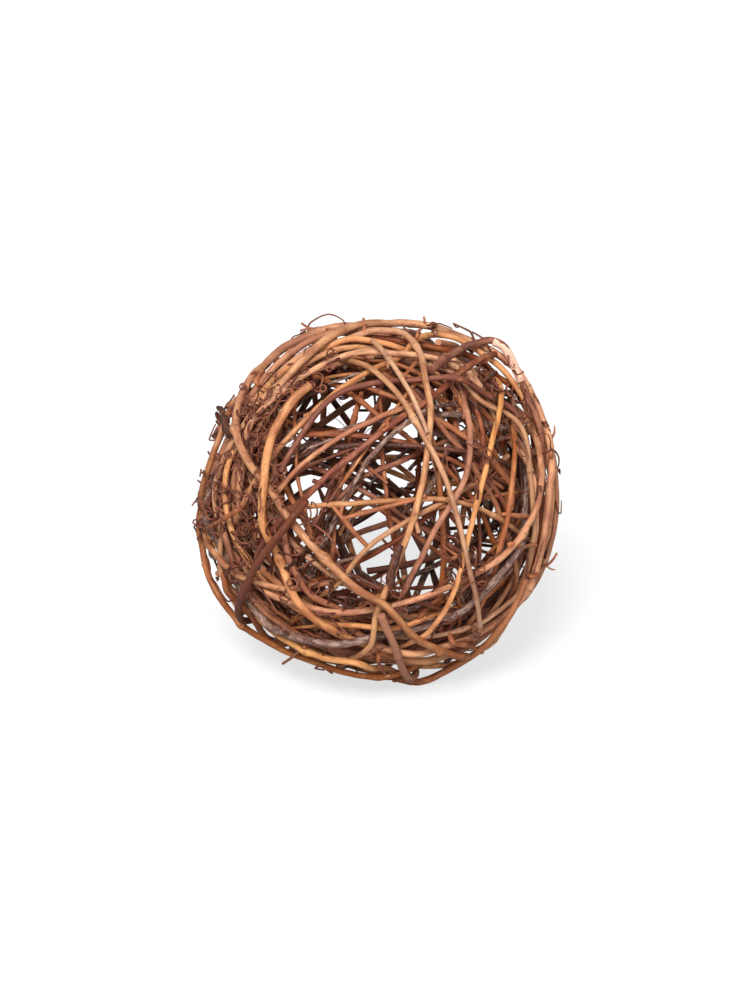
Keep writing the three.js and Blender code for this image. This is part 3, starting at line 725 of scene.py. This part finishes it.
# Tendrils that stand clear of the ball or catch the eye, as the shoots above
TENDRILS_BY_HAND = (
    (0.995, 0.45, 0.3, (
        (-0.38, 0.92), (-0.385, 0.98), (-0.34, 1.02), (-0.27, 1.045), (-0.2, 1.02), (-0.16, 0.96),
    )),
    (1.04, 0.45, 0.3, ((0.965, 0.28), (1.0, 0.27), (1.02, 0.235), (1.01, 0.195), (0.985, 0.18))),
    (1.02, 0.5, 0.35, (
        (-0.92, -0.1), (-0.95, -0.05), (-0.985, -0.01), (-1.02, -0.005), (-1.035, -0.025),
    )),
    (1.02, 0.45, 0.35, ((-0.95, -0.05), (-0.96, -0.01), (-0.99, 0.02), (-1.01, 0.0))),
    (1.01, 0.45, 0.3, ((-0.95, -0.15), (-1.0, -0.14), (-1.03, -0.12), (-1.01, -0.105), (-0.95, -0.13))),
    (0.98, 0.45, 0.3, ((-0.86, 0.2), (-0.885, 0.16), (-0.88, 0.12), (-0.86, 0.09))),
    (0.97, 0.5, 0.35, (
        (0.75, 0.66), (0.72, 0.63), (0.74, 0.58), (0.79, 0.59), (0.8, 0.62), (0.77, 0.64),
        (0.75, 0.6), (0.755, 0.52), (0.78, 0.45), (0.815, 0.43), (0.85, 0.44), (0.86, 0.4),
        (0.83, 0.375),
    )),
    (0.95, 0.4, 0.3, ((-0.62, 0.52), (-0.6, 0.56), (-0.62, 0.6), (-0.66, 0.62), (-0.65, 0.66))),
    (0.95, 0.45, 0.3, (
        (-0.55, 0.62), (-0.53, 0.56), (-0.56, 0.5), (-0.6, 0.46), (-0.66, 0.44), (-0.69, 0.38),
        (-0.66, 0.33),
    )),
    (0.93, 0.4, 0.3, ((-0.5, -0.12), (-0.42, -0.13), (-0.36, -0.09), (-0.37, -0.03), (-0.42, -0.04))),
    (0.99, 0.35, 0.3, ((-0.46, -0.45), (-0.5, -0.49), (-0.53, -0.53), (-0.5, -0.56), (-0.47, -0.52))),
    (0.97, 0.4, 0.3, ((-0.5, -0.03), (-0.35, -0.12), (-0.25, -0.2), (-0.2, -0.3))),
    (0.94, 0.4, 0.3, ((0.62, 0.2), (0.58, 0.13), (0.56, 0.06), (0.5, 0.0), (0.46, 0.02))),
)
# The stretch of escaped_bow whose bark is rubbed off, by its places
BARE_STRETCH = ((0.66, 0.905), (0.7, 0.865), (0.73, 0.81), (0.77, 0.73), (0.8, 0.66))


def drawn(places, reach, thick, thin, tone):
    """A stem laid through these places on the show face, at this reach from the ball's middle."""
    last = len(places) - 1
    return [
        (on_face(right, up, reach), (thick + (thin - thick) * i / last) * MM, tone)
        for i, (right, up) in enumerate(places)
    ]


def rooted(stem):
    """The same stem, grown out of the nearest cane."""
    point, radius, tone = stem[0]
    return [(cane_near(point)[0], radius, tone), *stem]


# ---- tendrils ----------------------------------------------------------------------------------------

TENDRIL_RADIUS = (0.36, 0.6)  # in mm
TENDRIL_STEP = 0.6  # the length that a tendril grows at a time, in mm
LONGEST_TENDRIL = 60  # in mm
CURLING_IN = 4  # the length over which a stalk goes over into its curl, in mm
TIGHTENING = 1.006  # how much tighter a curl gets from step to step
DEEPEST_TENDRIL = 0.84  # of the ball's radius, for those that start further out
# Where tendrils crowd: right, up, spread, and how many
THICKETS = (
    (-0.62, 0.5, 0.12, 62),
    (-0.72, 0.28, 0.1, 36),
    (-0.86, 0.02, 0.11, 60),
    (-0.72, -0.22, 0.12, 34),
    (-0.4, 0.8, 0.12, 14),
    (0.24, 0.92, 0.04, 9),
    (0.5, 0.72, 0.14, 16),
    (0.72, 0.64, 0.07, 14),
    (0.82, 0.4, 0.1, 10),
    (0.55, 0.15, 0.12, 12),
    (0.62, -0.35, 0.16, 22),
    (0.3, -0.7, 0.16, 18),
    (-0.05, -0.8, 0.2, 22),
    (-0.5, -0.5, 0.16, 18),
    (-0.3, 0.05, 0.2, 8),
)
FAR_TENDRILS = 190  # scattered over the rest of the ball
SHOW_FACE = 0.85  # the middle of the show face, as a share of the ball's radius, where none is scattered


def tendril(dice, start, way, radius):
    """A stalk that wanders off over the ball and curls up at its end, now and then as a tight spring."""
    outward = (start - MIDDLE).normalized()
    heading = Matrix.Rotation(dice.uniform(-1.4, 1.4), 3, outward) @ way
    heading = (heading + outward * dice.uniform(-0.25, 0.35)).normalized()
    tilt = Matrix.Rotation(dice.gauss(0, 0.7), 3, heading)
    hinge = (tilt @ (outward - heading * outward.dot(heading))).normalized()
    spring = dice.random() < 0.15
    curl_radius = dice.uniform(1.2, 1.8) if spring else dice.uniform(1.3, 4.5)
    tight = 1 / curl_radius * dice.choice((-1, 1))
    stalk = dice.uniform(2, 12)
    turning = dice.uniform(10, 18) if spring else dice.uniform(2.0, 7.5)
    climb = dice.uniform(0.12, 0.3) if spring else dice.uniform(-0.18, 0.18)
    wave = dice.uniform(0.5, 1.3)
    swing = dice.uniform(0.05, 0.22)
    at = start.copy()
    path = [at.copy()]
    run = turned = 0.0
    while turned < turning and run < LONGEST_TENDRIL:
        ease = min(1.0, max(0.0, (run - stalk) / CURLING_IN))
        bend = tight * ease + swing * math.sin(wave * run) * (1 - ease)
        turned += abs(tight) * ease * TENDRIL_STEP
        tight *= TIGHTENING
        hinge = Matrix.Rotation(dice.gauss(0, 0.14), 3, heading) @ hinge
        heading = (Matrix.Rotation(bend * TENDRIL_STEP, 3, hinge) @ heading).normalized()
        at = at + (heading + hinge * climb * ease) * TENDRIL_STEP * MM
        run += TENDRIL_STEP
        path.append(at.copy())
    rise = (start - MIDDLE).length
    low = min(rise, DEEPEST_TENDRIL * BALL)
    high = max(BALL, rise + dice.uniform(0.5, 3.5) * MM)
    stem = []
    for i, p in enumerate(path):
        out = p - MIDDLE
        out = out.normalized() * min(max(out.length, low), high)
        stem.append((MIDDLE + out, radius * (1 - 0.45 * i / len(path)), dice.uniform(-0.1, 0.1)))
    return stem


def grow_tendrils():
    """The thickets of tendrils, those on the rest of the ball, and those listed one by one, in one piece."""
    dice = random.Random("tendrils")

    def sprout(point, way):
        return tendril(dice, point, way * dice.choice((-1, 1)), dice.uniform(*TENDRIL_RADIUS) * MM)

    curls = []
    for right, up, spread, count in THICKETS:
        for _ in range(count):
            place = on_face(dice.gauss(right, spread), dice.gauss(up, spread), dice.uniform(0.9, 1.0))
            curls.append(sprout(*cane_near(place)))
    in_thickets = len(curls)
    while len(curls) < in_thickets + FAR_TENDRILS:
        line = LINES[dice.choice(sorted(LINES))]
        point, way = travel(line, dice.random() * length_of(line))
        right, up, towards = face_place(point)
        if towards <= 0 or math.hypot(right, up) >= SHOW_FACE:
            curls.append(sprout(point, way))
    curls = [list(takewhile(lambda bead: bead[0].z > OFF_THE_GROUND, curl)) for curl in curls]
    curls = [curl for curl in curls if len(curl) > 3 and not blocks_an_opening(p for p, _, _ in curl)]
    for reach, thick, thin, places in TENDRILS_BY_HAND:
        curls.append(rooted(drawn(places, reach, thick, thin, tone=-0.1)))
    grow(
        "tendrils",
        curls,
        "dark_bark",
        Step=fine(0.75),
        Sides=fine(5),
        Crookedness=0.3,
        Knot_swell=0.0,
        Ridges=0.1,
        Seed=3.0,
        Bark=TENDRIL,
    )


# ---- side shoots -------------------------------------------------------------------------------------

SHOOT_STRIDE = 9  # the length between two points of a shoot's line, in mm
SHOOT_TURN = 0.13  # the turn round the ball from one point to the next, in radians
OPEN_MIDDLE = 0.66  # the open middle of the show face has this share of the ball's radius
PAST_THE_RIM = -0.2  # all that is nearer than this counts as the near side, as a share of the ball's radius
FAR_MIDDLE = 0.3  # the middle of the far side has this share of the ball's radius
LOWEST_SHOOT = 5 * MM  # above the ground


def shoot(dice, inner, outer, shortest, longest, along_rim):
    """The line of a side shoot that weaves round the ball, this far from its middle and for so many mm."""
    outward = Vector((dice.gauss(0, 1), dice.gauss(0, 1), dice.gauss(0, 1))).normalized()
    way = outward.orthogonal().normalized()
    way = Matrix.Rotation(dice.uniform(0, 2 * math.pi), 3, outward) @ way
    if along_rim:
        way = Matrix.Rotation(dice.gauss(0, 0.3), 3, outward) @ FACE.cross(outward).normalized()
    reach = dice.uniform(inner, outer)
    axis = outward.cross(way) + outward * dice.uniform(-0.25, 0.25)
    path = []
    for i in range(int(dice.uniform(shortest, longest) / SHOOT_STRIDE) + 1):
        turned = Matrix.Rotation(i * SHOOT_TURN, 3, axis.normalized()) @ outward
        path.append(MIDDLE + turned * BALL * (reach + dice.uniform(-0.012, 0.012)))
    return path


def tapered(dice, path, thinnest, thickest, shade):
    """A shoot along this path that thins towards its tip, with a radius in mm between these two."""
    radius = dice.uniform(thinnest, thickest) * MM
    # A negative shift makes the shoot lighter: painted light on the shoots that run through the inside of the
    # ball.
    tone = dice.uniform(-0.5, 0.2) + shade
    # The bark is darker the deeper it lies in the ball: painted shade, with some dust.
    return [(p, radius * (1 - 0.3 * i / len(path)), tone + depth_shade_and_dust(p)) for i, p in enumerate(path)]


def near_rim(path):
    """Whether the path keeps off the open middle of the show face."""
    return all(
        math.hypot(right, up) > OPEN_MIDDLE
        for right, up, towards in map(face_place, path)
        if towards > PAST_THE_RIM
    )


def over_far_middle(path):
    """Whether the path crosses the far side right behind the middle of the show face."""
    return any(
        math.hypot(right, up) < FAR_MIDDLE and towards < 0 for right, up, towards in map(face_place, path)
    )


def anywhere(path):
    """For shoots that may run where they like."""
    return True


# Shoots that are woven in: how many; how far from the ball's middle, where 1 is its radius; how long in mm;
# whether they follow the rim; their own radius in mm; how much darker than most; and where they may run
SHOOT_KINDS = (
    (120, (0.78, 0.89), (30, 110), True, (0.7, 1.25), 0.6, near_rim),
    (150, (0.8, 0.9), (15, 45), False, (0.45, 0.8), 0.6, near_rim),
    # These two kinds, which run through the inside of the ball, are lighter than most: painted light on its
    # shaded inside.
    (125, (0.76, 0.9), (60, 150), False, (0.8, 1.3), -0.25, anywhere),
    (22, (0.85, 0.94), (60, 150), False, (0.9, 1.4), -0.35, over_far_middle),
)
SHOOT_BARKS = ("golden_bark", "russet_bark", "dark_bark", "russet_bark", "grey_bark", "dark_bark")


def weave_shoots():
    """The side shoots, in one piece for each kind of bark. Those listed one by one are russet."""
    dice = random.Random("side shoots")
    shoots = {name: [] for name in SHOOT_BARKS}
    for count, reaches, lengths, along_rim, radii, shade, fits in SHOOT_KINDS:
        made = 0
        while made < count:
            path = shoot(dice, *reaches, *lengths, along_rim)
            if fits(path) and not blocks_an_opening(path) and min(p.z for p in path) > LOWEST_SHOOT:
                shoots[SHOOT_BARKS[made % len(SHOOT_BARKS)]].append(tapered(dice, path, *radii, shade))
                made += 1
    for reach, thick, thin, places in SHOOTS_BY_HAND:
        shoots["russet_bark"].append(rooted(drawn(places, reach, thick, thin, tone=-0.3)))
    for slot_name, stems in shoots.items():
        grow(
            slot_name.replace("bark", "shoots"),
            stems,
            slot_name,
            Step=fine(1.35),
            Sides=fine(7),
            Crookedness=1.6,
            Knot_spacing=29.0,
            Knot_swell=0.3,
            Ridges=0.22,
            Seed=5.0,
            Bark=BARKS[slot_name],
        )


# ---- torn, rubbed and peeling bark -------------------------------------------------------------------

SHREDS = 520
SHRED_STEP = 1.1  # the length between two points of a shred's line, in mm
SHRED_ROOT = 2 * MM  # how much of a shred still lies along its cane
SHRED_HOLD = 0.92  # where it leaves the cane, as a share of the cane's radius
STOPS = 200  # the steps in which a cane is searched for its nearest point to a place
BARE_SWELL = 1.06  # the bare stretch's radius over the cane's, so that its bark doesn't show through


def tear_bark():
    """The places where bark is torn and swollen."""
    grow(
        "torn_bark",
        [drawn(places, reach, thick, thin, tone=0.2) for reach, thick, thin, places in TORN_BARK],
        "dark_bark",
        Step=fine(0.4),
        Sides=fine(16),
        Flatness=0.7,
        Crookedness=2.5,
        Knot_swell=0.0,
        Ridges=1.1,
        Seed=9.0,
        Bark=BARKS["dark_bark"],
    )


def along_cane(line, places):
    """The stretch of a cane that passes these places on the show face."""
    stops = [travel(line, stop / STOPS * length_of(line))[0] for stop in range(STOPS + 1)]
    return [
        min(stops, key=lambda p: math.hypot(face_place(p)[0] - right, face_place(p)[1] - up))
        for right, up in places
    ]


def rub_bare():
    """The one stretch of cane whose bark is rubbed off, down to the pale wood."""
    bow = LINES["escaped_bow"]
    radius = BARE_SWELL * bow[0][1] / FULLNESS
    grow(
        "bare_stretch",
        [[(p, radius, 0.0) for p in along_cane(bow, BARE_STRETCH)]],
        "pale_bark",
        Step=fine(0.5),
        Sides=fine(16),
        Crookedness=0.9,
        Knot_swell=0.0,
        Ridges=0.12,
        Seed=random.Random("escaped_bow").uniform(0, 50),
        Bark=BARE_WOOD,
    )


def shred(dice, line):
    """The line of a strip of bark that lifts off a cane and curls away."""
    start = dice.uniform(0.02, 0.95) * length_of(line)
    point, way = travel(line, start)
    way = way * dice.choice((-1, 1))
    outward = (point - MIDDLE).normalized()
    upright = (outward - way * outward.dot(way)).normalized()
    off_cane = Matrix.Rotation(dice.uniform(-2.2, 2.2), 3, way) @ upright
    radius = line[0][1] / FULLNESS
    at = point + off_cane * radius * SHRED_HOLD
    path = [at - way * SHRED_ROOT]
    lift = 0.0
    curl = dice.uniform(-0.1, 0.16)
    for _ in range(dice.randint(4, 16)):
        path.append(at.copy())
        lift += curl * dice.random()
        swing = Matrix.Rotation(lift, 3, way.cross(off_cane)) @ way
        at = at + swing * MM * SHRED_STEP
    return path


def peel_bark():
    """Shreds of bark all over the ball. In the middle of the show face, it's mostly grey canes that peel."""
    dice = random.Random("peeling bark")
    shreds = []
    while len(shreds) < SHREDS:
        name = dice.choice(sorted(LINES))
        path = shred(dice, LINES[name])
        right, up, towards = face_place(path[0])
        if towards > 0.2 and math.hypot(right, up) < dice.uniform(0.3, 0.95) and SLOTS[name] != "grey_bark":
            continue
        if any((p - MIDDLE).length > BALL or p.z < OFF_THE_GROUND for p in path):
            continue
        wide = dice.uniform(0.25, 0.75) * MM
        shreds.append(
            [(p, wide * (1 - 0.6 * i / len(path)), dice.uniform(-0.3, 0.3)) for i, p in enumerate(path)]
        )
    grow(
        "bark_shreds",
        shreds,
        "grey_bark",
        Step=fine(1.0),
        Sides=fine(5),
        Flatness=0.25,
        Crookedness=0.8,
        Knot_swell=0.0,
        Ridges=0.3,
        Seed=7.0,
        Bark=SHRED,
    )


# ---- studio ------------------------------------------------------------------------------------------

PICTURE_WIDTH = 4.2 * BALL  # how much the picture takes in, at the ball
# The lamps: where each shines from, how soft it is in degrees, and how strong
LAMPS = {
    "key": ((-0.2, -0.8, 0.95), 25, 3.4),
    "fill": ((0.3, -0.9, 0.3), 60, 1.15),
}


def pale_floor():
    """A floor that takes the ball's shadow, and that is as pale as the backdrop to the camera."""
    bpy.ops.mesh.primitive_plane_add(size=8)
    floor = bpy.context.object
    floor.name = "floor"
    paint = bpy.data.materials.new("floor_paint")
    paint.use_nodes = True
    w = Wiring(paint.node_tree)
    looks = {
        "Base Color": (0.32, 0.32, 0.32, 1),
        "Roughness": 0.9,
        "Specular IOR Level": 0.0,
        "Emission Color": (1, 1, 1, 1),
        "Emission Strength": w.times(w.add("ShaderNodeLightPath").outputs["Is Camera Ray"], 0.68),
    }
    shader = paint.node_tree.nodes["Principled BSDF"]
    for label, value in looks.items():
        w.feed(shader.inputs[label], value)
    floor.data.materials.append(paint)


def soft_light(scene):
    """Even white light all round, and two lamps."""
    world = bpy.data.worlds.new("studio")
    world.use_nodes = True
    sky = world.node_tree.nodes["Background"]
    sky.inputs["Color"].default_value = (1, 1, 1, 1)
    sky.inputs["Strength"].default_value = 0.4
    scene.world = world
    for name, (at, softness, strength) in LAMPS.items():
        lamp = bpy.data.lights.new(name, "SUN")
        lamp.angle = math.radians(softness)
        lamp.energy = strength
        lamp_object = bpy.data.objects.new(name, lamp)
        lamp_object.rotation_euler = (-Vector(at)).to_track_quat("-Z", "Y").to_euler()
        scene.collection.objects.link(lamp_object)


def look_at_show_face(scene):
    """A far camera straight in front of the show face, a hair to the side of the ball's middle."""
    eye = bpy.data.cameras.new("camera")
    eye.sensor_fit = "HORIZONTAL"
    eye.sensor_width = 36
    eye.lens = 200
    camera = bpy.data.objects.new("camera", eye)
    aim = MIDDLE - RIGHT * 0.8 * MM + UP * 0.4 * MM
    camera.location = aim + FACE * PICTURE_WIDTH * eye.lens / eye.sensor_width
    camera.rotation_euler = (-FACE).to_track_quat("-Z", "Y").to_euler()
    scene.collection.objects.link(camera)
    scene.camera = camera


# ---- the whole ball ----------------------------------------------------------------------------------

for cane_name in LINES:
    lay_cane(cane_name)
grow_tendrils()
weave_shoots()
tear_bark()
rub_bare()
peel_bark()

studio = bpy.context.scene
pale_floor()
soft_light(studio)
look_at_show_face(studio)
studio.view_settings.view_transform = "Standard"
